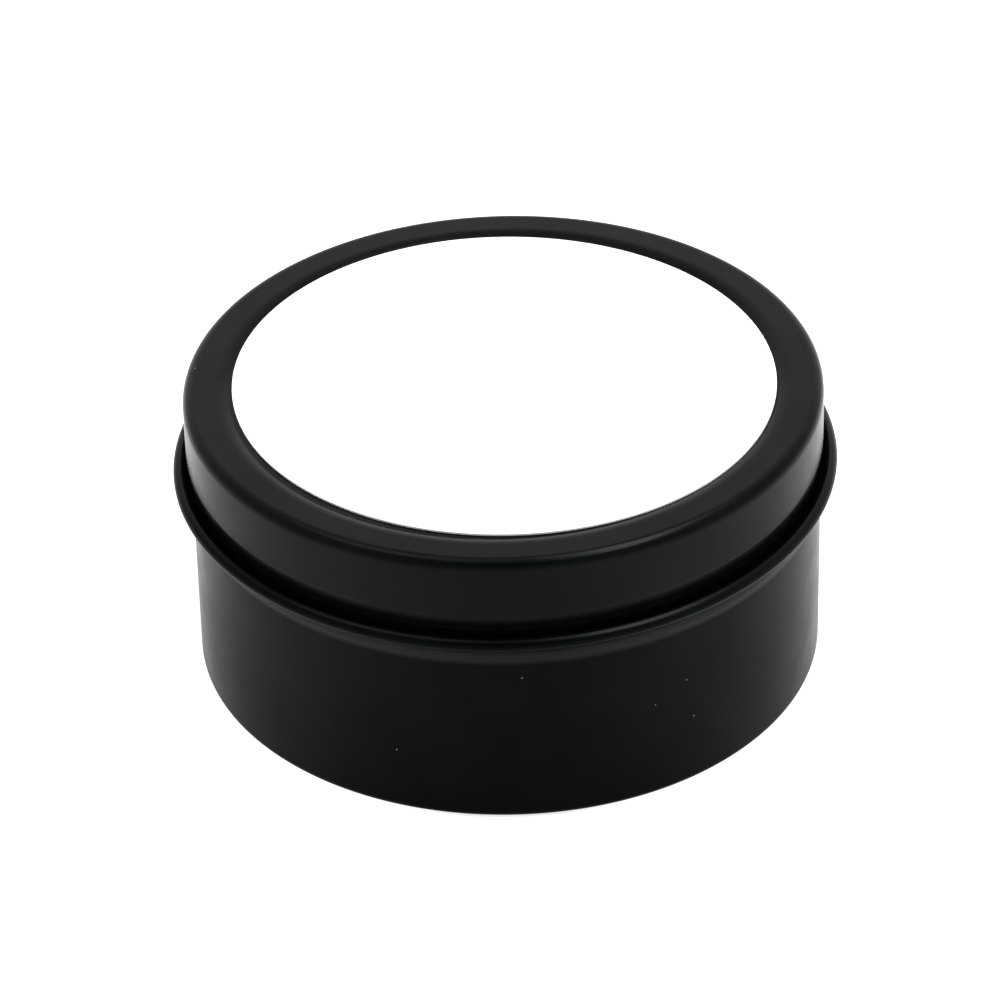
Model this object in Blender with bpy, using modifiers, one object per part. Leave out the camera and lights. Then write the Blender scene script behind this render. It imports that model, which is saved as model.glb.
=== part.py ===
"""Round slip-lid candle tin, about 84 mm across and 38 mm high, with the candle inside it.

Two drawn tinplate shells, base and lid, a round label on the lid and one under the base, and the
candle: wax, wick, the wick's metal tab and the adhesive disc that holds the tab to the floor.
Metres, +Z up. The origin is the centre of the circle that the tin stands on.
"""

import math

import bpy

# ---------------------------------------------------------------- driving dimensions (metres)
HEIGHT = 0.0384            # standing face to the lid's flat ring
SHEET = 0.00028            # tinplate with its paint
GAP = 0.0003               # clearance between pieces that touch
SEGMENTS = 48              # flats around each large turned shape
SMALL_SEGMENTS = 16        # flats around the wick

# base
WALL_R = 0.0396            # outside of the straight wall
BOTTOM_EDGE_R = 0.0009     # outside radius of the bottom corner
STAND_RING_WIDTH = 0.0031  # flat ring that the tin stands on
PANEL_RISE = 0.0006        # how far the bottom panel is pushed up
PANEL_STEP = 0.0009        # radial length of the slope up to the panel
SHOULDER_Z = 0.0237        # where the wall starts to turn in
SHOULDER_R = 0.0030        # outside radius of the shoulder
SHOULDER_TURN = math.radians(26.0)
NECK_R = 0.03895           # outside of the neck under the lid
RIM_CURL_R = 0.00074       # outside radius of the rolled-in rim
RIM_CURL_START = math.radians(300.0)   # the roll's hidden free edge, below and inside

# lid
LID_R = 0.0400             # outside of the skirt
LID_EDGE_R = 0.0014        # outside radius of the top edge
RING_INNER_R = 0.0353      # inner edge of the flat ring
RECESS_FOOT_R = 0.0342     # foot of the slope into the recess
RECESS_DEPTH = 0.00045
SKIRT_PINCH = 0.00026      # how far the skirt is drawn in just above its curl
PINCH_TOP_Z = 0.0306       # where the skirt starts to draw in
PINCH_END_Z = 0.0289       # where it is upright again
LID_CURL_REACH = 0.00178   # how far the curl stands out from the skirt
LID_CURL_HEIGHT = 0.00182
LID_CURL_Z = 0.0271        # height of the curl's middle
LID_CURL_END = math.radians(87.0)   # the free edge stops at the curl's crest

# labels
LABEL_THICKNESS = 0.00012
LID_LABEL_R = 0.0339
BOTTOM_LABEL_R = 0.0300

# candle
WAX_TOP_Z = 0.0280
WAX_SHOULDER_DROP = 0.0016   # how far below the tin's shoulder the wax reaches its full width
WICK_R = 0.00125
WICK_TIP_Z = 0.0340
WICK_TIP_BEVEL = 0.0005
WICK_TIP_CROWN = 0.0001
TAB_R = 0.0100
TAB_SHEET = 0.0003
TAB_NECK_HEIGHT = 0.0032
STICKER_THICKNESS = 0.0005

# ---------------------------------------------------------------- heights that follow from them
RIM_TOP_Z = HEIGHT - SHEET - GAP
FLOOR_TOP_Z = PANEL_RISE + SHEET
STICKER_Z = FLOOR_TOP_Z + GAP
TAB_Z = STICKER_Z + STICKER_THICKNESS + GAP
TAB_NECK_TOP_Z = TAB_Z + TAB_SHEET + TAB_NECK_HEIGHT
LID_LABEL_Z = HEIGHT - RECESS_DEPTH + GAP
BOTTOM_LABEL_Z = PANEL_RISE - GAP - LABEL_THICKNESS


# ---------------------------------------------------------------- scene and materials
def clear_scene():
    for obj in list(bpy.data.objects):
        bpy.data.objects.remove(obj, do_unlink=True)


def new_collection(name):
    collection = bpy.data.collections.new(name)
    bpy.context.scene.collection.children.link(collection)
    return collection


def material(name, color, roughness, metallic=0.0):
    made = bpy.data.materials.new(name)
    made.use_nodes = True
    shader = made.node_tree.nodes["Principled BSDF"]
    shader.inputs["Base Color"].default_value = (*color, 1.0)
    shader.inputs["Roughness"].default_value = roughness
    shader.inputs["Metallic"].default_value = metallic
    return made


def black_paint(name):
    return material(name, (0.012, 0.013, 0.0125), roughness=0.38)


def label_stock(name):
    return material(name, (0.90, 0.90, 0.89), roughness=0.45)


def candle_wax():
    return material("soy_wax", (0.86, 0.80, 0.66), roughness=0.42)


def wick_cotton():
    return material("wick_cotton", (0.80, 0.77, 0.68), roughness=0.80)


def tab_metal():
    return material("tab_metal", (0.70, 0.71, 0.72), roughness=0.30, metallic=1.0)


def sticker_foam():
    return material("sticker_foam", (0.82, 0.82, 0.80), roughness=0.70)


# ---------------------------------------------------------------- profiles in the (r, z) plane
def arc(centre, radii, start, end, steps):
    """Points along an ellipse's arc: centre (r, z), radii (along r, along z), angles in radians."""
    points = []
    for i in range(steps + 1):
        angle = start + (end - start) * i / steps
        points.append((centre[0] + radii[0] * math.cos(angle), centre[1] + radii[1] * math.sin(angle)))
    return points


def add_object(name, mesh, collection, surface):
    obj = bpy.data.objects.new(name, mesh)
    collection.objects.link(obj)
    mesh.materials.append(surface)
    return obj


def turn(name, profile, closed, segments, collection, surface):
    """A profile turned about Z with Screw. It runs down its outer side, so its faces point out."""
    count = len(profile)
    edges = [(i, i + 1) for i in range(count - 1)]
    if closed:
        edges.append((count - 1, 0))
    mesh = bpy.data.meshes.new(name)
    mesh.from_pydata([(r, 0.0, z) for r, z in profile], edges, [])
    obj = add_object(name, mesh, collection, surface)
    screw = obj.modifiers.new("turn", "SCREW")
    screw.axis = "Z"
    screw.steps = segments
    screw.render_steps = segments
    screw.use_merge_vertices = True
    screw.merge_threshold = 0.00001
    screw.use_smooth_shade = True
    return obj


def turned_sheet(name, centre_line, segments, thickness, collection, surface):
    """Sheet metal: the sheet's centre line turned about Z, then given its thickness."""
    obj = turn(name, centre_line, False, segments, collection, surface)
    solid = obj.modifiers.new("sheet", "SOLIDIFY")
    solid.thickness = thickness
    solid.offset = 0.0
    solid.use_even_offset = True
    return obj


# ---------------------------------------------------------------- the two drawn shells
def shoulder_line(wall_r, neck_r, convex_r):
    """Centre line from the neck down to the straight wall: a hollow arc, then a round one."""
    drop = convex_r * (1.0 - math.cos(SHOULDER_TURN))
    hollow_r = (wall_r - neck_r - drop) / (1.0 - math.cos(SHOULDER_TURN))
    meet_z = SHOULDER_Z + convex_r * math.sin(SHOULDER_TURN)
    hollow_top_z = meet_z + hollow_r * math.sin(SHOULDER_TURN)
    hollow = arc((neck_r + hollow_r, hollow_top_z), (hollow_r, hollow_r),
                 math.pi, math.pi + SHOULDER_TURN, 2)
    convex = arc((wall_r - convex_r, SHOULDER_Z), (convex_r, convex_r), SHOULDER_TURN, 0.0, 3)
    return hollow + convex[1:]


def base_centre_line():
    """From the rolled rim's free edge over the rim, down the neck and wall, to the floor's middle."""
    half = SHEET / 2.0
    rim_r = RIM_CURL_R - half
    neck = NECK_R - half
    wall = WALL_R - half
    corner = BOTTOM_EDGE_R - half
    stand_inner = WALL_R - BOTTOM_EDGE_R - STAND_RING_WIDTH
    rim = arc((neck - rim_r, RIM_TOP_Z - half - rim_r), (rim_r, rim_r), RIM_CURL_START, 0.0, 8)
    edge = arc((wall - corner, half + corner), (corner, corner), 0.0, -math.pi / 2.0, 3)
    panel = [(stand_inner, half), (stand_inner - PANEL_STEP, PANEL_RISE + half),
             (0.0, PANEL_RISE + half)]
    return rim + shoulder_line(wall, neck, SHOULDER_R - half) + edge + panel


def lid_centre_line():
    """From the middle of the panel out over the ring, down the skirt and round the curl."""
    half = SHEET / 2.0
    skirt = LID_R - half
    corner = LID_EDGE_R - half
    top = HEIGHT - half
    panel = [(0.0, top - RECESS_DEPTH), (RECESS_FOOT_R, top - RECESS_DEPTH), (RING_INNER_R, top)]
    edge = arc((skirt - corner, top - corner), (corner, corner), math.pi / 2.0, 0.0, 4)
    pinched = skirt - SKIRT_PINCH
    curl_radii = ((SKIRT_PINCH + LID_CURL_REACH) / 2.0, LID_CURL_HEIGHT / 2.0 - half)
    curl = arc((pinched + curl_radii[0], LID_CURL_Z), curl_radii,
               math.pi, 2.0 * math.pi + LID_CURL_END, 11)
    return panel + edge + [(skirt, PINCH_TOP_Z), (pinched, PINCH_END_Z)] + curl


# ---------------------------------------------------------------- labels and candle
def disc_profile(radius, bottom, thickness):
    """Closed half section of a disc, down its outer side."""
    return [(0.0, bottom + thickness), (radius, bottom + thickness), (radius, bottom), (0.0, bottom)]


def wax_profile():
    """Half section of the wax: cast against the wall, neck and floor, hollow over the tab and wick."""
    wall = WALL_R - SHEET - GAP
    neck = NECK_R - SHEET - GAP
    bore = WICK_R + GAP
    stand_inner = WALL_R - BOTTOM_EDGE_R - STAND_RING_WIDTH + GAP
    step_inner = stand_inner - PANEL_STEP
    tab_roof = TAB_Z + TAB_SHEET + GAP
    neck_roof = TAB_NECK_TOP_Z + GAP
    neck_bore = WICK_R + 2.0 * GAP + TAB_SHEET
    tab_side = TAB_R + GAP
    return [
        (bore, WAX_TOP_Z), (neck, WAX_TOP_Z), (neck, SHOULDER_Z + GAP),
        (wall, SHOULDER_Z - WAX_SHOULDER_DROP), (wall, SHEET + 2.0 * GAP),
        (wall - GAP, SHEET + GAP), (stand_inner, SHEET + GAP),
        (step_inner, FLOOR_TOP_Z + GAP), (tab_side, FLOOR_TOP_Z + GAP), (tab_side, tab_roof),
        (neck_bore, tab_roof), (neck_bore, neck_roof), (bore, neck_roof),
    ]


def tab_profile():
    """Half section of the wick's tab: a flat disc with an upright neck round the wick."""
    inner = WICK_R + GAP
    outer = inner + TAB_SHEET
    return [
        (inner, TAB_NECK_TOP_Z), (outer, TAB_NECK_TOP_Z), (outer, TAB_Z + TAB_SHEET),
        (TAB_R, TAB_Z + TAB_SHEET), (TAB_R, TAB_Z), (inner, TAB_Z),
    ]


def wick_profile():
    """Half section of the wick, its top end slightly rounded as a trimmed wick is."""
    return [
        (0.0, WICK_TIP_Z), (WICK_R - WICK_TIP_BEVEL, WICK_TIP_Z - WICK_TIP_CROWN),
        (WICK_R, WICK_TIP_Z - WICK_TIP_CROWN - WICK_TIP_BEVEL), (WICK_R, TAB_Z + GAP),
        (0.0, TAB_Z + GAP),
    ]


# ---------------------------------------------------------------- assembly
def build():
    clear_scene()
    tin = new_collection("candle_tin")
    turned_sheet("base_tin", base_centre_line(), SEGMENTS, SHEET, tin, black_paint("base_paint"))
    turned_sheet("lid", lid_centre_line(), SEGMENTS, SHEET, tin, black_paint("lid_paint"))
    turn("lid_label", disc_profile(LID_LABEL_R, LID_LABEL_Z, LABEL_THICKNESS), False,
         SEGMENTS, tin, label_stock("lid_label_stock"))
    turn("bottom_label", disc_profile(BOTTOM_LABEL_R, BOTTOM_LABEL_Z, LABEL_THICKNESS), False,
         SEGMENTS, tin, label_stock("bottom_label_stock"))
    turn("wax", wax_profile(), True, SEGMENTS, tin, candle_wax())
    turn("wick", wick_profile(), False, SMALL_SEGMENTS, tin, wick_cotton())
    turn("wick_tab", tab_profile(), True, SMALL_SEGMENTS * 2, tin, tab_metal())
    turn("wick_sticker", disc_profile(TAB_R, STICKER_Z, STICKER_THICKNESS), False,
         SMALL_SEGMENTS * 2, tin, sticker_foam())


build()
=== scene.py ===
# %% [markdown]
# # A round slip-lid candle tin
#
# The object is two drawn sheet-metal shells and the candle between them: a base with a rolled-in
# rim, a lid whose skirt ends in an outward curl, a white label on the lid and one under the base,
# and inside them the wax, its wick, the wick's stamped tab and the foam sticker that holds it.
#
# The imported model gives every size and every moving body. This script dresses it: each plain solid
# is replaced by a finer piece that rides on the same body, so the lid still lifts.

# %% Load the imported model
import math

import bmesh
import bpy
from mathutils import Matrix, Vector, noise


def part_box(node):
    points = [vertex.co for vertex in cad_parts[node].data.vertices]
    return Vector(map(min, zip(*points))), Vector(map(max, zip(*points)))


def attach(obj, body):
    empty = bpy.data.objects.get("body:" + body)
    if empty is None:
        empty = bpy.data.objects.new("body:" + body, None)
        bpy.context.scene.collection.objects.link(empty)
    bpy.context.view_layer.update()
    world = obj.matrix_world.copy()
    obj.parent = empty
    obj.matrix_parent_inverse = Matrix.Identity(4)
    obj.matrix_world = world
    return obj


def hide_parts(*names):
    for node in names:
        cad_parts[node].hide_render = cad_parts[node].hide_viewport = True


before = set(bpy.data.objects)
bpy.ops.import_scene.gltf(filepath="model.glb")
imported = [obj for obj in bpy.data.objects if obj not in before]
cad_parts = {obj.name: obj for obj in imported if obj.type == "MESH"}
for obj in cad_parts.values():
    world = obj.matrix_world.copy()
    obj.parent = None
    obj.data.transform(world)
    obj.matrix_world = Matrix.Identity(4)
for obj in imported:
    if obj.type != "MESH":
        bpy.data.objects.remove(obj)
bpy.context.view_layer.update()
MM = 0.001

# %% [markdown]
# ## The sizes that everything hangs on
#
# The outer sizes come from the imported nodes' boxes: the height from the lid, the curl's reach from
# the lid's width, the wall from the base. Only what a box can't say, such as the thickness of the
# sheet or the radius of a corner, is written here, in millimetres, as a tinsmith's drawing has it.

# %% Read the driving sizes
lid_low, lid_high = (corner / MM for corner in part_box("lid"))
base_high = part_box("base_tin")[1] / MM
HEIGHT = lid_high.z
CURL_OUTER_R = lid_high.x
CURL_BOTTOM_Z = lid_low.z
WALL_R = base_high.x
RIM_TOP_Z = base_high.z
SHEET = 0.28
print(f"tin {2 * CURL_OUTER_R:.2f} mm over the curl, {HEIGHT:.2f} mm high, wall {2 * WALL_R:.2f} mm")

# %% [markdown]
# ## The camera
#
# A small product is photographed from far away with a long lens, so that its ellipses stay calm:
# 188 mm from two thirds of a metre. The camera looks down at 34 degrees, at a point halfway up the
# tin, and leans by one degree, as a hand-set tripod does.

# %% Camera
CAMERA_PLACE = Vector((-0.00015, -0.5467, 0.3952))
CAMERA_AIM = Vector((-0.00089, 0.0, 0.02009))
CAMERA_LENS = 188.5
CAMERA_LEAN = math.radians(-1.31)
CAMERA_NEAR_LIMIT = 0.01
camera = bpy.data.objects.new("camera", bpy.data.cameras.new("camera"))
bpy.context.scene.collection.objects.link(camera)
camera.data.lens = CAMERA_LENS
camera.data.clip_start = CAMERA_NEAR_LIMIT
camera.location = CAMERA_PLACE
level = (CAMERA_AIM - CAMERA_PLACE).to_track_quat("-Z", "Y").to_matrix()
camera.rotation_euler = (level @ Matrix.Rotation(CAMERA_LEAN, 3, "Z")).to_euler()
bpy.context.scene.camera = camera
print(f"camera {(CAMERA_PLACE - CAMERA_AIM).length / MM:.0f} mm from the tin")

# %% [markdown]
# ## Drawing a section
#
# Everything here is round, so every shape is a half section turned about the upright axis. A
# section is a short list of corners, each with the radius that the tool leaves there. Blender has
# no fillet for loose points, so this helper puts an arc in each corner. It also adds one point a
# hair before and after the arc: smooth shading then stays flat on the flats and turns only in the
# corner, which keeps the reflections in the paint clean. Two arcs that don't fit on the line between
# them would fold the section back on itself, and the sheet made from it would fly apart, so the
# helper stops with a message instead.

# %% Corners to a section
SUPPORT = 0.05
ARC_STEPS = 8


def rounded(corners):
    """Points (r, z) in mm along a path of corners (r, z, radius), with an arc in each corner."""
    points = []
    last_reach = 0.0
    for index, (r, z, radius) in enumerate(corners):
        here = Vector((r, z))
        if radius == 0.0:
            points.append(here)
            last_reach = 0.0
            continue
        back = Vector(corners[index - 1][:2]) - here
        before = back.normalized()
        after = (Vector(corners[(index + 1) % len(corners)][:2]) - here).normalized()
        half_angle = before.angle(after) / 2.0
        reach = radius / math.tan(half_angle)
        room_left = back.length - last_reach
        support = min(SUPPORT, radius)
        if reach + support > room_left:
            raise ValueError(f"corner {index} needs {reach:.2f} of {room_left:.2f} mm")
        last_reach = reach + support
        middle = here + (before + after).normalized() * radius / math.sin(half_angle)
        start, end = here + before * reach, here + after * reach
        points.append(start + before * support)
        sweep = (start - middle).angle_signed(end - middle)
        for step in range(ARC_STEPS + 1):
            turn = Matrix.Rotation(-sweep * step / ARC_STEPS, 2)
            points.append(middle + turn @ (start - middle))
        points.append(end + after * support)
    return points


def arc(centre, radii, start, end, steps):
    """Points (r, z) in mm along an ellipse's arc, angles in degrees from the outward direction."""
    angles = [math.radians(start + (end - start) * i / steps) for i in range(steps + 1)]
    return [Vector((centre[0] + radii[0] * math.cos(a), centre[1] + radii[1] * math.sin(a)))
            for a in angles]


# %% [markdown]
# ## Turning it
#
# The Screw modifier turns the section about Z. For sheet metal the section is only the middle line
# of the sheet, and Solidify gives it its 0.28 mm, with real cut edges at the curls. Applying the
# modifiers at once leaves a plain mesh, which later steps may still push about.

# %% Section to a mesh
TURN_STEPS = 192
MERGE_DISTANCE = 0.000001


def piece_from(name, mesh, body, slot, *nodes):
    """Puts a mesh in the scene as a piece on a body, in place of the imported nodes."""
    piece = bpy.data.objects.new(name, mesh)
    bpy.context.scene.collection.objects.link(piece)
    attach(piece, body)
    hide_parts(*nodes)


def turned(name, section, closed=False, sheet=0.0, steps=TURN_STEPS):
    """A mesh turned about Z from a section in mm, made solid sheet if a thickness is given."""
    count = len(section)
    edges = [(i, i + 1) for i in range(count - 1)]
    if closed:
        edges.append((count - 1, 0))
    mesh = bpy.data.meshes.new(name + "_section")
    mesh.from_pydata([(p[0] * MM, 0.0, p[1] * MM) for p in section], edges, [])
    tool = bpy.data.objects.new(name + "_section", mesh)
    bpy.context.scene.collection.objects.link(tool)
    screw = tool.modifiers.new("turn", "SCREW")
    screw.steps = screw.render_steps = steps
    screw.use_merge_vertices = True
    screw.merge_threshold = MERGE_DISTANCE
    if sheet:
        solid = tool.modifiers.new("sheet", "SOLIDIFY")
        solid.thickness = sheet * MM
        solid.offset = 0.0
        solid.use_even_offset = True
    made = bpy.data.meshes.new_from_object(tool.evaluated_get(bpy.context.evaluated_depsgraph_get()))
    made.name = name
    made.shade_smooth()
    bpy.data.objects.remove(tool)
    print(f"{name}: {count} points turned into {len(made.polygons)} faces")
    return made


# %% [markdown]
# ## Nodes without the clutter
#
# Every finish below is a Principled shader fed by a few noises. Some small helpers keep the
# recipes readable: they add a node, give a noise of a stated grain in millimetres, spread a noise
# between two values, do sums, blend numbers or colours, and chain bumps.

# %% Material helpers
def add_node(tree, kind, **settings):
    """Adds a node; settings whose names are inputs go on its sockets, the others on the node."""
    node = tree.nodes.new(kind)
    for key, value in settings.items():
        if hasattr(node, key):
            setattr(node, key, value)
        else:
            node.inputs[key.replace("_", " ")].default_value = value
    return node


def new_finish(name, **constants):
    """A material with a Principled shader whose named inputs are set to constants."""
    made = bpy.data.materials.new(name)
    made.use_nodes = True
    shader = made.node_tree.nodes["Principled BSDF"]
    for key, value in constants.items():
        shader.inputs[key.replace("_", " ")].default_value = value
    return made, made.node_tree, shader


def grain(tree, size_mm, detail=2.0, stretch=(1.0, 1.0, 1.0)):
    """A noise whose blotches are about size_mm across, fixed to the piece."""
    place = add_node(tree, "ShaderNodeTexCoord")
    mapping = add_node(tree, "ShaderNodeMapping")
    mapping.inputs["Scale"].default_value = stretch
    made = add_node(tree, "ShaderNodeTexNoise", Scale=1.0 / (size_mm * MM), Detail=detail)
    tree.links.new(place.outputs["Object"], mapping.inputs["Vector"])
    tree.links.new(mapping.outputs["Vector"], made.inputs["Vector"])
    return made.outputs["Fac"]


def spread(tree, value, low, high, start=0.3, end=0.7):
    """Maps start..end of a value to low..high."""
    made = add_node(tree, "ShaderNodeMapRange")
    for key, number in (("From Min", start), ("From Max", end), ("To Min", low), ("To Max", high)):
        made.inputs[key].default_value = number
    tree.links.new(value, made.inputs["Value"])
    return made.outputs["Result"]


def feed(tree, socket, value):
    """Links another socket to a socket, or sets it to a number or a colour."""
    if isinstance(value, bpy.types.NodeSocket):
        tree.links.new(value, socket)
    elif isinstance(value, tuple):
        socket.default_value = (*value, 1.0)
    else:
        socket.default_value = value


def node_math(tree, operation, *values):
    """A product, a maximum or the like of numbers and sockets."""
    made = add_node(tree, "ShaderNodeMath")
    made.operation = operation
    for socket, value in zip(made.inputs, values):
        feed(tree, socket, value)
    return made.outputs["Value"]


def blend(tree, factor, first, second):
    """A number or a colour between two; the second one's type decides which."""
    made = add_node(tree, "ShaderNodeMix")
    colored = isinstance(second, tuple)
    made.data_type = "RGBA" if colored else "FLOAT"
    feed(tree, made.inputs["Factor"], factor)
    sockets = made.inputs[6:8] if colored else made.inputs[2:4]
    for socket, value in zip(sockets, (first, second)):
        feed(tree, socket, value)
    return made.outputs[2 if colored else 0]


def split_axis(tree, vector, axis):
    """One axis of a vector socket."""
    split = add_node(tree, "ShaderNodeSeparateXYZ")
    tree.links.new(vector, split.inputs["Vector"])
    return split.outputs[axis]


def bumps(tree, shader, *layers):
    """Chains (height socket, depth in mm) layers into the shader's normal."""
    normal = None
    for height, depth in layers:
        bump = add_node(tree, "ShaderNodeBump", Distance=depth * MM)
        tree.links.new(height, bump.inputs["Height"])
        if normal:
            tree.links.new(normal, bump.inputs["Normal"])
        normal = bump.outputs["Normal"]
    tree.links.new(normal, shader.inputs["Normal"])


# %% [markdown]
# ## Black paint
#
# The tin is coated on both faces: the lid's curl shows the sheet's inner face, and it is as black
# as the skirt. The coat is a satin stoving enamel, almost without colour, so what the eye reads is
# only its reflection: next to none where it is seen square on, and a bright sheen where it is seen
# along the surface. That is a low specular level with a middling roughness. Over it lie a soft
# orange peel, a fine grain, and a slow change of gloss where hands and cloths have been.
#
# The two shells differ a little. The lid is the glossier one, but the underside of its curl is
# dulled by wear. The base has a rubbed band round its shoulder: each time the lid goes on or off,
# its curl polishes the paint there. Its coat thins and dulls toward the foot. A few specks of
# white lint, a quarter of a millimetre across, cling to both. Each is a small ball in the piece's
# own coordinates, and wherever the surface passes through a ball, it turns pale.

# %% Lint
LINT_R = 0.13


def lint(tree, places):
    """A factor that is 1 in a small ball round each place (x, y, z) in mm."""
    place = add_node(tree, "ShaderNodeTexCoord")
    total = 0.0
    for point in places:
        distance = add_node(tree, "ShaderNodeVectorMath")
        distance.operation = "DISTANCE"
        distance.inputs[1].default_value = [value * MM for value in point]
        tree.links.new(place.outputs["Object"], distance.inputs[0])
        one = spread(tree, distance.outputs["Value"], 1.0, 0.0, 0.6 * LINT_R * MM, LINT_R * MM)
        total = node_math(tree, "MAXIMUM", total, one)
    return total


BASE_LINT = ((1.31, -39.58, 21.2), (21.39, -33.32, 15.8), (17.55, -35.57, 13.7),
             (22.32, -32.71, 9.85), (-14.13, -36.99, 8.9), (-36.6, 15.1, 17.0), (12.2, 37.67, 6.4))
LID_LINT = ((40.35, -8.6, 27.85), (-38.75, 4.4, 38.1), (-14.0, 37.47, 33.0), (33.1, 22.46, 34.5))

# %% Paint
FOOT_FADE_TOP = 20.0
LINT_WHITE = (0.13, 0.13, 0.125)


def satin_black(name, gloss, places, worn_band, foot_fade=1.0):
    """Satin enamel: specular level, lint places, worn_band = (start, full, gloss) by height in mm,
    and the share of the gloss left at the foot of the base."""
    made, tree, shader = new_finish(name)
    clouds = grain(tree, 9.0, detail=3.0)
    color = blend(tree, spread(tree, clouds, 0.0, 1.0),
                  (0.0004, 0.0010, 0.0009), (0.0008, 0.0017, 0.0015))
    color = blend(tree, lint(tree, places), color, LINT_WHITE)
    tree.links.new(color, shader.inputs["Base Color"])
    height = split_axis(tree, add_node(tree, "ShaderNodeTexCoord").outputs["Object"], "Z")
    level = node_math(tree, "MULTIPLY", spread(tree, clouds, 0.95 * gloss, 1.05 * gloss),
                      spread(tree, height, foot_fade, 1.0, 0.0, FOOT_FADE_TOP * MM))
    start, full, worn_gloss = worn_band
    worn = spread(tree, height, 0.0, 1.0, start * MM, full * MM)
    tree.links.new(blend(tree, worn, level, worn_gloss), shader.inputs["Specular IOR Level"])
    tree.links.new(spread(tree, grain(tree, 4.0, detail=4.0), 0.23, 0.29), shader.inputs["Roughness"])
    bumps(tree, shader, (grain(tree, 0.9), 0.002), (grain(tree, 0.12), 0.0006))
    return made


paint_base = satin_black("base_enamel", 0.035, BASE_LINT, (23.1, 23.8, 0.125), foot_fade=0.72)
paint_lid = satin_black("lid_enamel", 0.058, LID_LINT, (27.9, 27.5, 0.030))
print("paint:", paint_base.name, paint_lid.name)

# %% [markdown]
# ## The base
#
# A press draws the base from one flat blank, so it has no seam. From the rim down: the edge is
# rolled inwards so that no cut edge shows, a straight neck takes the lid, a soft shoulder leads out
# to the wall, and a tight corner ends it. The bottom panel is pushed up a little, so the tin stands
# on a narrow ring. The line below is the middle of the sheet, from the hidden cut edge of the roll
# to the centre of the bottom.

# %% Base shell
HALF = SHEET / 2.0
NECK_R = 38.95
RIM_CURL_R = 0.74
SHOULDER_Z = 23.7
BOTTOM_EDGE_R = 0.9
STAND_RING_WIDTH = 3.1
PANEL_RISE = 0.6
PANEL_STEP = 0.9
stand_inner = WALL_R - BOTTOM_EDGE_R - STAND_RING_WIDTH
rim_roll = RIM_CURL_R - HALF
neck_line = NECK_R - HALF
wall_line = WALL_R - HALF
base_section = arc((neck_line - rim_roll, RIM_TOP_Z - RIM_CURL_R), (rim_roll, rim_roll), 300, 0, 28)
base_section += rounded([
    (neck_line, RIM_TOP_Z - RIM_CURL_R - 0.3, 0.0),
    (neck_line, SHOULDER_Z + 2.20, 1.2),
    (wall_line, SHOULDER_Z + 0.70, 3.0),
    (wall_line, HALF, BOTTOM_EDGE_R - HALF),
    (stand_inner, HALF, 0.40),
    (stand_inner - PANEL_STEP, PANEL_RISE + HALF, 0.40),
    (0.0, PANEL_RISE + HALF, 0.0),
])
base_mesh = turned("base_shell", base_section, sheet=SHEET)
base_mesh.materials.append(paint_base)
piece_from("base_shell", base_mesh, "base", "base_paint", "base_tin")

# %% [markdown]
# ## The lid
#
# The lid is drawn the same way, top side up: a round panel pressed down for the label, the flat
# ring round it, a rounded edge, and a straight skirt. The skirt's end is rolled outwards into a
# curl, which makes the thin edge safe and stiff. The roll stops at its crest and doesn't close on
# the skirt, and the skirt is drawn in a little just above it, so a very dark channel runs round the
# lid. A closed ring would be easier to make, but that black line is what gives this lid its look.
#
# A slip lid that was pushed on by hand is never quite level, so the turned piece is tipped by less
# than half a degree, about a point at the height of its skirt, and the label goes with it.

# %% Lid shell
LID_R = 40.0
EDGE_R = 1.4
RING_INNER_R = 35.2
RING_INNER_BEND = 3.6
RECESS_FOOT_R = 34.2
RECESS_DEPTH = 0.45
CURL_HEIGHT = 1.82
CURL_END_ANGLE = 447
PINCH = 0.26
PINCH_TOP_Z = 30.6
PINCH_END_Z = 28.9
skirt_line = LID_R - HALF
top_line = HEIGHT - HALF
pinch_line = skirt_line - PINCH
curl_radii = ((CURL_OUTER_R - pinch_line - HALF) / 2.0, CURL_HEIGHT / 2.0 - HALF)
curl_middle_z = CURL_BOTTOM_Z + CURL_HEIGHT / 2.0
lid_section = rounded([
    (0.0, top_line - RECESS_DEPTH, 0.0),
    (RECESS_FOOT_R, top_line - RECESS_DEPTH, 0.25),
    (RING_INNER_R, top_line, RING_INNER_BEND),
    (skirt_line, top_line, EDGE_R - HALF),
    (skirt_line, PINCH_TOP_Z, 3.0),
    (pinch_line, PINCH_END_Z, 2.0),
    (pinch_line, curl_middle_z + 0.05, 0.0),
])
lid_section += arc((pinch_line + curl_radii[0], curl_middle_z), curl_radii, 180, CURL_END_ANGLE, 36)
SETTLE_HEIGHT = 30.0
SETTLE_SIDEWAYS = -0.15
SETTLE_ANGLE = math.radians(-0.4)
settle_about = Matrix.Translation((0.0, 0.0, SETTLE_HEIGHT * MM))
settle_shift = Matrix.Translation((SETTLE_SIDEWAYS * MM, 0.0, 0.0))
settle_tip = Matrix.Rotation(SETTLE_ANGLE, 4, "Y")
LID_SETTLE = settle_shift @ settle_about @ settle_tip @ settle_about.inverted()
lid_mesh = turned("lid_shell", lid_section, sheet=SHEET)
lid_mesh.transform(LID_SETTLE)
lid_mesh.materials.append(paint_lid)
piece_from("lid_shell", lid_mesh, "lid", "lid_paint", "lid")

# %% [markdown]
# ## The labels
#
# Two discs of white self-adhesive film, one in the lid's recess and one under the base, both
# blank. A cut film edge is square with a hair of roundness. The lid's label just fits its recess.
# It was pulled a little while it was stuck on by hand: its radius is a third of a millimetre
# longer along one diagonal and as much shorter along the other. It also sits a fifth off centre,
# which leaves a thin dark gap on one side.

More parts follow.
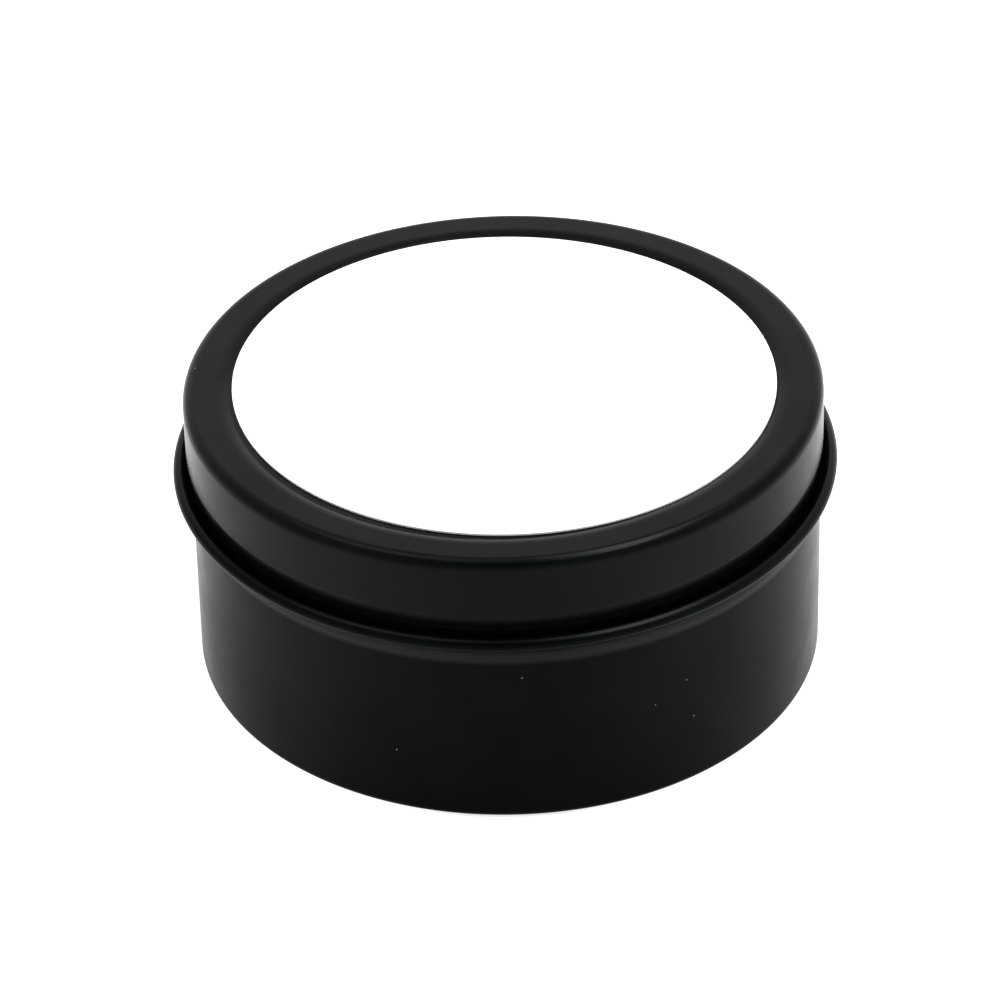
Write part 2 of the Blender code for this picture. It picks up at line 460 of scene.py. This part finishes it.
# %% Label film
def label_film(name):
    made, tree, shader = new_finish(name, Specular_IOR_Level=0.35)
    tone = blend(tree, spread(tree, grain(tree, 6.0, detail=4.0), 0.0, 1.0),
                 (0.93, 0.93, 0.925), (0.96, 0.96, 0.955))
    tree.links.new(tone, shader.inputs["Base Color"])
    tree.links.new(spread(tree, grain(tree, 1.5), 0.42, 0.52), shader.inputs["Roughness"])
    bumps(tree, shader, (grain(tree, 2.5), 0.001), (grain(tree, 0.15), 0.001))
    return made


def label_mesh(name, radius, bottom, thickness, offset=(0.0, 0.0)):
    """A film disc with softly cut edges, moved off centre by offset in mm."""
    top = bottom + thickness
    mesh = turned(name, rounded([
        (0.0, top, 0.0), (radius, top, 0.03), (radius, bottom, 0.02), (0.0, bottom, 0.0)]))
    mesh.transform(Matrix.Translation((offset[0] * MM, offset[1] * MM, 0.0)))
    mesh.materials.append(label_film(name + "_film"))
    return mesh


LID_LABEL_R = 33.90
LID_LABEL_THICKNESS = 0.26
LID_LABEL_PULL = 0.0099
PULL_AXES = ((0.76, -0.65, 0.0), (0.65, 0.76, 0.0))
LID_LABEL_OFFSET = (0.15, 0.16)
BOTTOM_LABEL_R = 30.0
BOTTOM_LABEL_THICKNESS = 0.15
LABEL_STAND_OFF = 0.02
panel_top = HEIGHT - RECESS_DEPTH
lid_label_mesh = label_mesh("lid_label_disc", LID_LABEL_R, panel_top + LABEL_STAND_OFF,
                            LID_LABEL_THICKNESS, LID_LABEL_OFFSET)
for sign, axis in zip((1, -1), PULL_AXES):
    lid_label_mesh.transform(Matrix.Scale(1.0 + sign * LID_LABEL_PULL, 4, Vector(axis).normalized()))
lid_label_mesh.transform(LID_SETTLE)
piece_from("lid_label_disc", lid_label_mesh, "lid", "lid_label_stock", "lid_label")
bottom_label_low = PANEL_RISE - LABEL_STAND_OFF - BOTTOM_LABEL_THICKNESS
bottom_label_mesh = label_mesh("bottom_label_disc", BOTTOM_LABEL_R, bottom_label_low,
                               BOTTOM_LABEL_THICKNESS)
piece_from("bottom_label_disc", bottom_label_mesh, "base", "bottom_label_stock", "bottom_label")

# %% [markdown]
# ## The wax
#
# Soy wax is poured hot and shrinks as it sets: it keeps a small rim where it wetted the tin and
# the wick, and its face sinks and ripples by about a tenth of a millimetre. The section follows
# the tin's inside and leaves room for the wick's tab. After turning, a noise moves the top face.
# The wax lets light in, so it gets subsurface scattering, and frosting, the pale crystal bloom
# that soy wax grows, is a patchy lighter colour with a rougher surface.

# %% Wax body
GAP = 0.3
WAX_TOP_Z = 28.0
WICK_R = 1.25
TAB_R = 10.0
RIPPLE_DEPTH = 0.07
wax_wall = WALL_R - SHEET - 0.05
wax_neck = NECK_R - SHEET - 0.05
wax_floor = PANEL_RISE + SHEET + 0.05
tab_low, tab_high = (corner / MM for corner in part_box("wick_tab"))
tab_roof = tab_low.z + 2 * GAP
neck_roof = tab_high.z + GAP
bore = WICK_R + 0.02
wax_section = rounded([
    (bore, WAX_TOP_Z + 0.45, 0.0),
    (bore + 0.5, WAX_TOP_Z + 0.02, 0.5),
    (bore + 6.0, WAX_TOP_Z - 0.12, 4.0),
    (24.0, WAX_TOP_Z, 9.0),
    (wax_neck - 0.9, WAX_TOP_Z, 0.8),
    (wax_neck, WAX_TOP_Z + 0.5, 0.0),
    (wax_neck, SHOULDER_Z + 0.4, 1.0),
    (wax_wall, SHOULDER_Z - 1.2, 1.0),
    (wax_wall, SHEET + GAP, 0.4),
    (stand_inner - 0.1, SHEET + GAP, 0.2),
    (stand_inner - PANEL_STEP, wax_floor, 0.2),
    (TAB_R + 0.2, wax_floor, 0.0),
    (TAB_R + 0.2, tab_roof, 0.0),
    (2.4, tab_roof, 0.0),
    (2.4, neck_roof, 0.0),
    (bore, neck_roof, 0.0),
])
wax_mesh = turned("wax_body", wax_section, closed=True)
for vertex in wax_mesh.vertices:
    radius = math.hypot(vertex.co.x, vertex.co.y) / MM
    if vertex.co.z > (WAX_TOP_Z - 0.5) * MM and bore + 0.6 < radius < wax_neck - 0.6:
        ripple = noise.noise(vertex.co * 70.0) + 0.5 * noise.noise(vertex.co * 190.0)
        vertex.co.z += RIPPLE_DEPTH * MM * ripple


def soy_wax():
    made, tree, shader = new_finish("soy_wax", Subsurface_Weight=0.55, Subsurface_Scale=0.004)
    shader.inputs["Subsurface Radius"].default_value = (1.0, 0.75, 0.45)
    frost = spread(tree, grain(tree, 5.0, detail=6.0), 0.0, 1.0, 0.45, 0.68)
    color = blend(tree, frost, (0.89, 0.83, 0.69), (0.93, 0.90, 0.82))
    tree.links.new(color, shader.inputs["Base Color"])
    tree.links.new(spread(tree, frost, 0.34, 0.55, 0.0, 1.0), shader.inputs["Roughness"])
    bumps(tree, shader, (grain(tree, 1.4, detail=3.0), 0.012), (grain(tree, 0.25), 0.003))
    return made


wax_mesh.materials.append(soy_wax())
piece_from("wax_body", wax_mesh, "base", "soy_wax", "wax")

# %% [markdown]
# ## The wick
#
# A candle wick is a round braid: half of its strands wind to the left and half to the right, and
# each goes over one and under the next. That rule is easy to write as a formula: a strand winds
# steadily and its distance from the middle swings in and out, once for every two crossings, and
# the two families swing in opposite step. Each strand is a thin tube along its own line.

# %% Wick braid
STRANDS_EACH_WAY = 4
BRAID_PITCH = 8.0
BRAID_R = 0.72
BRAID_SWING = 0.15
STRAND_R = 0.36
CORE_R = 0.5
WICK_RINGS = 150
wick_low, wick_high = (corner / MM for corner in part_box("wick"))


def strand_point(height, direction, start_angle):
    """A point of a strand at a height in mm; direction is +1 or -1."""
    angle = direction * 2.0 * math.pi * height / BRAID_PITCH + start_angle
    swing = math.cos(2.0 * STRANDS_EACH_WAY * math.pi * height / BRAID_PITCH)
    distance = BRAID_R + BRAID_SWING * direction * swing
    return Vector((distance * math.cos(angle), distance * math.sin(angle), height)) * MM


def tube(name, points, radius):
    """A round tube through points in metres, as a mesh."""
    line = bpy.data.curves.new(name, "CURVE")
    line.dimensions = "3D"
    line.bevel_depth = radius
    line.bevel_resolution = 3
    line.use_fill_caps = True
    spline = line.splines.new("POLY")
    spline.points.add(len(points) - 1)
    for target, point in zip(spline.points, points):
        target.co = (*point, 1.0)
    holder = bpy.data.objects.new(name, line)
    mesh = bpy.data.meshes.new_from_object(holder)
    bpy.data.objects.remove(holder)
    return mesh


def joined(name, meshes):
    """One mesh from several."""
    whole = bmesh.new()
    for mesh in meshes:
        whole.from_mesh(mesh)
        bpy.data.meshes.remove(mesh)
    bmesh.ops.remove_doubles(whole, verts=whole.verts, dist=1e-7)
    made = bpy.data.meshes.new(name)
    whole.to_mesh(made)
    whole.free()
    made.shade_smooth()
    return made


strand_heights = [wick_low.z + (wick_high.z - wick_low.z) * i / WICK_RINGS
                  for i in range(WICK_RINGS + 1)]
strands = []
for direction in (1, -1):
    for number in range(STRANDS_EACH_WAY):
        start_angle = 2.0 * math.pi * number / STRANDS_EACH_WAY
        path = [strand_point(height, direction, start_angle) for height in strand_heights]
        strands.append(tube("strand", path, STRAND_R * MM))
core_path = [Vector((0.0, 0.0, height)) * MM for height in (wick_low.z, wick_high.z - 0.2)]
strands.append(tube("core", core_path, CORE_R * MM))
wick_mesh = joined("wick_braid", strands)
print(f"wick: {2 * STRANDS_EACH_WAY} strands, {len(wick_mesh.polygons)} faces")


def waxed_cotton():
    made, tree, shader = new_finish("waxed_cotton", Sheen_Weight=0.25, Sheen_Roughness=0.5)
    fibres = grain(tree, 0.12, detail=3.0, stretch=(1.0, 1.0, 0.3))
    color = blend(tree, spread(tree, fibres, 0.0, 1.0), (0.70, 0.65, 0.52), (0.86, 0.82, 0.72))
    tree.links.new(color, shader.inputs["Base Color"])
    tree.links.new(spread(tree, fibres, 0.55, 0.75), shader.inputs["Roughness"])
    bumps(tree, shader, (fibres, 0.03))
    return made


wick_mesh.materials.append(waxed_cotton())
piece_from("wick_braid", wick_mesh, "base", "wick_cotton", "wick")

# %% [markdown]
# ## The wick's tab and its sticker
#
# The tab is a thin zinc-plated disc with a neck drawn up from its middle, crimped at three places
# so that it grips the wick. A foam sticker holds it to the bottom of the tin while the wax is
# poured. Both end up buried in the wax, but they are real pieces, so they are made too.

# %% Tab
CRIMPS = 3
CRIMP_DEPTH = 0.22
TAB_SHEET = 0.3
neck_in = WICK_R + 0.06
neck_out = neck_in + TAB_SHEET
disc_top = tab_low.z + TAB_SHEET
tab_mesh = turned("wick_tab_stamping", rounded([
    (neck_in, tab_high.z, 0.05), (neck_out, tab_high.z, 0.05), (neck_out, disc_top, 0.35),
    (TAB_R - 1.2, disc_top, 0.0), (TAB_R, disc_top - 0.06, 0.05), (TAB_R, tab_low.z, 0.05),
    (neck_in, tab_low.z, 0.25)]), closed=True, steps=96)
crimp_middle = (disc_top + tab_high.z) / 2.0 * MM
for vertex in tab_mesh.vertices:
    angle = math.atan2(vertex.co.y, vertex.co.x)
    near = max(0.0, math.cos(CRIMPS * angle)) ** 6
    level = math.exp(-((vertex.co.z - crimp_middle) / (0.7 * MM)) ** 2)
    distance = math.hypot(vertex.co.x, vertex.co.y)
    squeeze = 1.0 - near * level * CRIMP_DEPTH * MM / distance if distance < 2.0 * MM else 1.0
    vertex.co.x *= squeeze
    vertex.co.y *= squeeze


def zinc_plate():
    made, tree, shader = new_finish("zinc_plate", Metallic=1.0)
    streaks = grain(tree, 0.4, detail=4.0, stretch=(1.0, 0.08, 1.0))
    color = blend(tree, spread(tree, streaks, 0.0, 1.0), (0.62, 0.63, 0.64), (0.74, 0.75, 0.76))
    tree.links.new(color, shader.inputs["Base Color"])
    tree.links.new(spread(tree, streaks, 0.22, 0.38), shader.inputs["Roughness"])
    bumps(tree, shader, (streaks, 0.003))
    return made


tab_mesh.materials.append(zinc_plate())
piece_from("wick_tab_stamping", tab_mesh, "base", "tab_metal", "wick_tab")

# %% Sticker
def sticker_foam():
    made, tree, shader = new_finish("sticker_foam")
    cells = add_node(tree, "ShaderNodeTexVoronoi", Scale=1.0 / (0.25 * MM))
    place = add_node(tree, "ShaderNodeTexCoord")
    tree.links.new(place.outputs["Object"], cells.inputs["Vector"])
    color = blend(tree, spread(tree, cells.outputs["Distance"], 0.0, 1.0, 0.1, 0.7),
                  (0.70, 0.70, 0.67), (0.86, 0.86, 0.83))
    tree.links.new(color, shader.inputs["Base Color"])
    tree.links.new(spread(tree, cells.outputs["Distance"], 0.7, 0.9), shader.inputs["Roughness"])
    bumps(tree, shader, (cells.outputs["Distance"], 0.03))
    return made


sticker_low, sticker_high = (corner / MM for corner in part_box("wick_sticker"))
sticker_mesh = turned("wick_sticker_disc", rounded([
    (0.0, sticker_high.z, 0.0), (TAB_R, sticker_high.z, 0.12), (TAB_R, sticker_low.z, 0.12),
    (0.0, sticker_low.z, 0.0)]), steps=96)
sticker_mesh.materials.append(sticker_foam())
piece_from("wick_sticker_disc", sticker_mesh, "base", "sticker_foam", "wick_sticker")

# %% [markdown]
# ## Floor and light
#
# Black satin paint shows only what it reflects, so the light is built from what each part of the
# tin sees. The wall and the skirt see the white table. Its glow is painted light: the table glows
# by itself, so that no hard shadow is left on it. The glow is weaker close to the tin, a painted
# shade where the tin would keep light from the table. It is strongest halfway between front and
# side, a painted pool of light where the soft boxes would light it most. The lid's ring sees the
# room behind. The rounded edges see everything from the back wall over the ceiling to the front,
# and what they show is two soft boxes overhead, a bright strip on the right and a wide dim one on
# the left, and a dark patch in front where the camera and its stand block the light. That patch
# draws the thin black lines along the lid's edge and along the curl. The room's white is a touch
# green, which keeps the black paint from looking brown.

# %% Floor
FLOOR_R = 4.0
FLOOR_DROP = 0.00002
# Painted light in the table's glow: GLOW_NEAR is a painted shade next to the tin, GLOW_DIAGONAL a
# painted pool of light.
GLOW_NEAR, GLOW_FAR = 0.75, 0.78
GLOW_NEAR_R, GLOW_FAR_R = 45.0, 110.0
GLOW_DIAGONAL, GLOW_SIDE = 1.6, 1.05
DIAGONAL_START, DIAGONAL_FULL, SIDE_START, SIDE_FULL = 0.15, 0.65, 0.75, 1.0


def table_white():
    made, tree, shader = new_finish("table_white", Roughness=0.6, Specular_IOR_Level=0.0)
    shader.inputs["Emission Color"].default_value = (1.0, 1.0, 1.0, 1.0)
    tone = blend(tree, grain(tree, 20.0, detail=5.0), (0.49, 0.49, 0.49), (0.51, 0.51, 0.51))
    tree.links.new(tone, shader.inputs["Base Color"])
    place = add_node(tree, "ShaderNodeTexCoord")
    distance = add_node(tree, "ShaderNodeVectorMath")
    distance.operation = "LENGTH"
    tree.links.new(place.outputs["Object"], distance.inputs[0])
    # The glow is painted light: painted shade close to the tin and a painted pool of light halfway
    # between front and side.
    glow = spread(tree, distance.outputs["Value"], GLOW_NEAR, GLOW_FAR,
                  GLOW_NEAR_R * MM, GLOW_FAR_R * MM)
    across = add_node(tree, "ShaderNodeVectorMath")
    across.operation = "NORMALIZE"
    tree.links.new(place.outputs["Object"], across.inputs[0])
    sideways = node_math(tree, "ABSOLUTE", split_axis(tree, across.outputs["Vector"], "X"))
    glow = node_math(tree, "MULTIPLY", glow,
                     spread(tree, sideways, 1.0, GLOW_DIAGONAL, DIAGONAL_START, DIAGONAL_FULL))
    glow = node_math(tree, "MULTIPLY", glow,
                     spread(tree, sideways, 1.0, GLOW_SIDE / GLOW_DIAGONAL, SIDE_START, SIDE_FULL))
    tree.links.new(glow, shader.inputs["Emission Strength"])
    return made


floor_mesh = bpy.data.meshes.new("floor")
floor_mesh.from_pydata([(x * FLOOR_R, y * FLOOR_R, -FLOOR_DROP) for x, y in
                        ((-1, -1), (1, -1), (1, 1), (-1, 1))], [], [(0, 1, 2, 3)])
floor = bpy.data.objects.new("floor", floor_mesh)
floor_mesh.materials.append(table_white())
bpy.context.scene.collection.objects.link(floor)

# %% The room
ROOM_TINT = (0.94, 1.0, 0.975)
ROOM_LEVEL = 0.80
ROOM_BACK = 1.65
ROOM_SIDES = 1.05
BACK_START, BACK_FULL = 0.3, 0.8
SIDES_START, SIDES_FULL = 0.5, 0.9
PATCH_LEVEL = 0.08
PATCH_HEIGHT = math.radians(47)
PATCH_EDGE, PATCH_CORE = math.radians(27), math.radians(12)
world = bpy.data.worlds.new("white_room")
world.use_nodes = True
room = world.node_tree
seen = add_node(room, "ShaderNodeTexCoord").outputs["Generated"]
side = node_math(room, "ABSOLUTE", split_axis(room, seen, "X"))
toward_back = spread(room, split_axis(room, seen, "Y"), 0.0, 1.0, BACK_START, BACK_FULL)
toward_sides = spread(room, side, 0.0, 1.0, SIDES_START, SIDES_FULL)
level = blend(room, toward_back, ROOM_LEVEL, ROOM_BACK)
level = blend(room, toward_sides, level, ROOM_SIDES)
patch = add_node(room, "ShaderNodeVectorMath")
patch.operation = "DOT_PRODUCT"
patch.inputs[1].default_value = (0.0, -math.cos(PATCH_HEIGHT), math.sin(PATCH_HEIGHT))
room.links.new(seen, patch.inputs[0])
near_patch = spread(room, patch.outputs["Value"], 0.0, 1.0, math.cos(PATCH_EDGE), math.cos(PATCH_CORE))
level = blend(room, near_patch, level, PATCH_LEVEL)
feed(room, room.nodes["Background"].inputs["Strength"], level)
feed(room, room.nodes["Background"].inputs["Color"], ROOM_TINT)
bpy.context.scene.world = world
print(f"room level {ROOM_LEVEL}, back {ROOM_BACK}, sides {ROOM_SIDES}, patch {PATCH_LEVEL}")


# %% Soft boxes
def soft_box(name, place, size, radiance, turn=0.0):
    """A rectangular light that hangs level, face down, turned by turn degrees seen from above."""
    data = bpy.data.lights.new(name, "AREA")
    data.shape = "RECTANGLE"
    data.size, data.size_y = size
    data.energy = radiance * math.pi * size[0] * size[1]
    lamp = bpy.data.objects.new(name, data)
    bpy.context.scene.collection.objects.link(lamp)
    lamp.location = place
    lamp.rotation_euler.z = math.radians(turn)


soft_box("right_box", (0.37, -0.02, 1.0), (0.31, 0.78), 13.0, turn=22.0)
soft_box("left_box", (-0.39, 0.07, 1.0), (0.56, 0.50), 3.0)
bpy.context.scene.view_settings.view_transform = "Standard"
